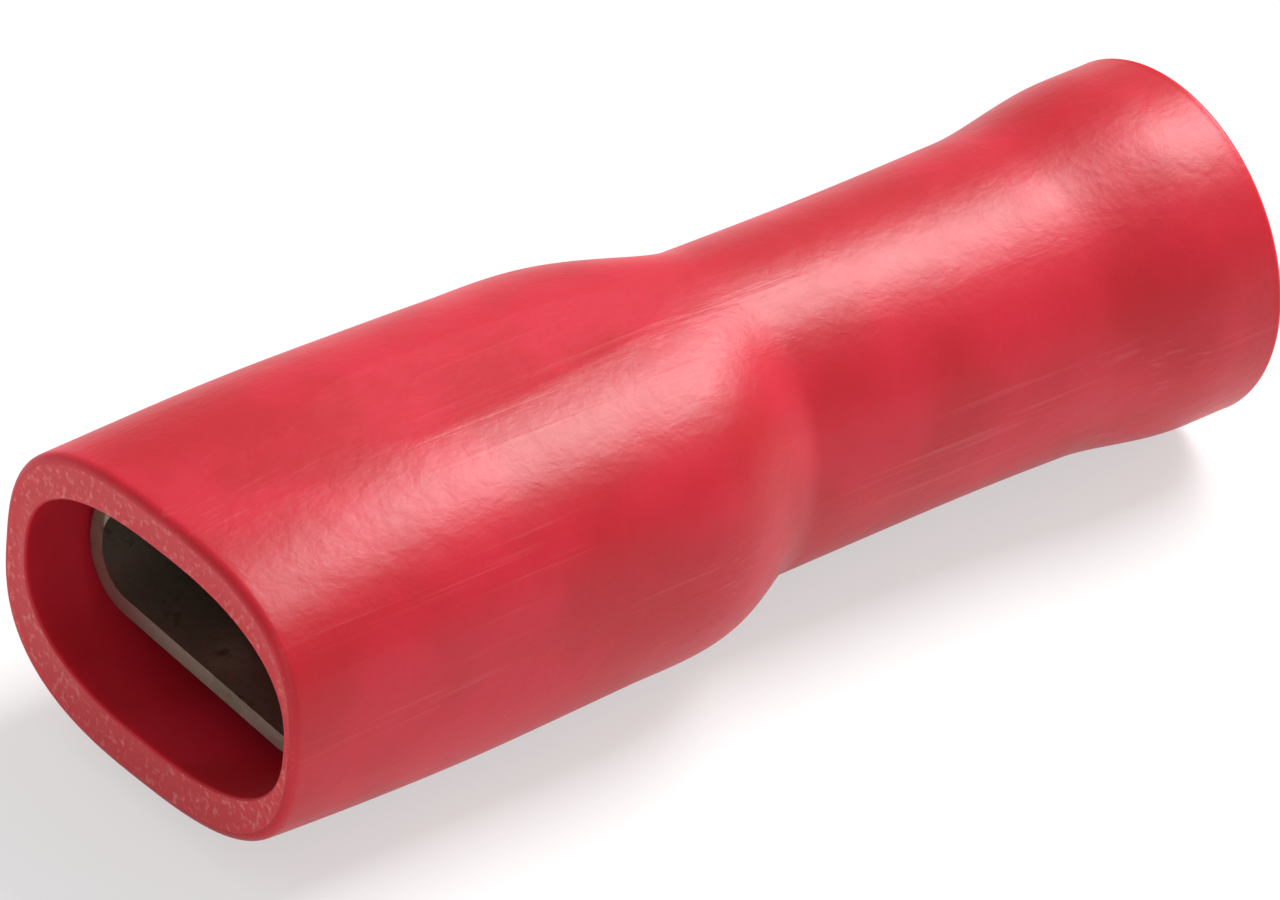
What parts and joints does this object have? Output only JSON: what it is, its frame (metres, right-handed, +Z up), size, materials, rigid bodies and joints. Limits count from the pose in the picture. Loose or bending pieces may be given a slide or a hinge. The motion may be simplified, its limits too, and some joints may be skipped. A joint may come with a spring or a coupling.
{
  "type": "female spade terminal",
  "caption": "Fully insulated female spade terminal: a soft red sleeve round a folded tinned receptacle, crimped on a wire to grip a flat blade tab.",
  "frame": {"origin": "under the middle of the part, on the surface that it lies on", "axes": "+X along the part from the blade mouth to the wire end, +Y across its width, +Z up through its thickness with a broad side down"},
  "size_m": [0.021, 0.0074, 0.0061],
  "materials": {
    "sleeve_vinyl": "soft satin moulded vinyl, crimson, with a fine leathery grain and faint lengthwise drag lines",
    "tinned_sheet": "dull tin plate over brass, grey-olive with brown stains and a bright sheared edge"
  },
  "bodies": {
    "root": {"sleeve": "sleeve_vinyl", "receptacle": "tinned_sheet"}
  },
  "joints": []
}
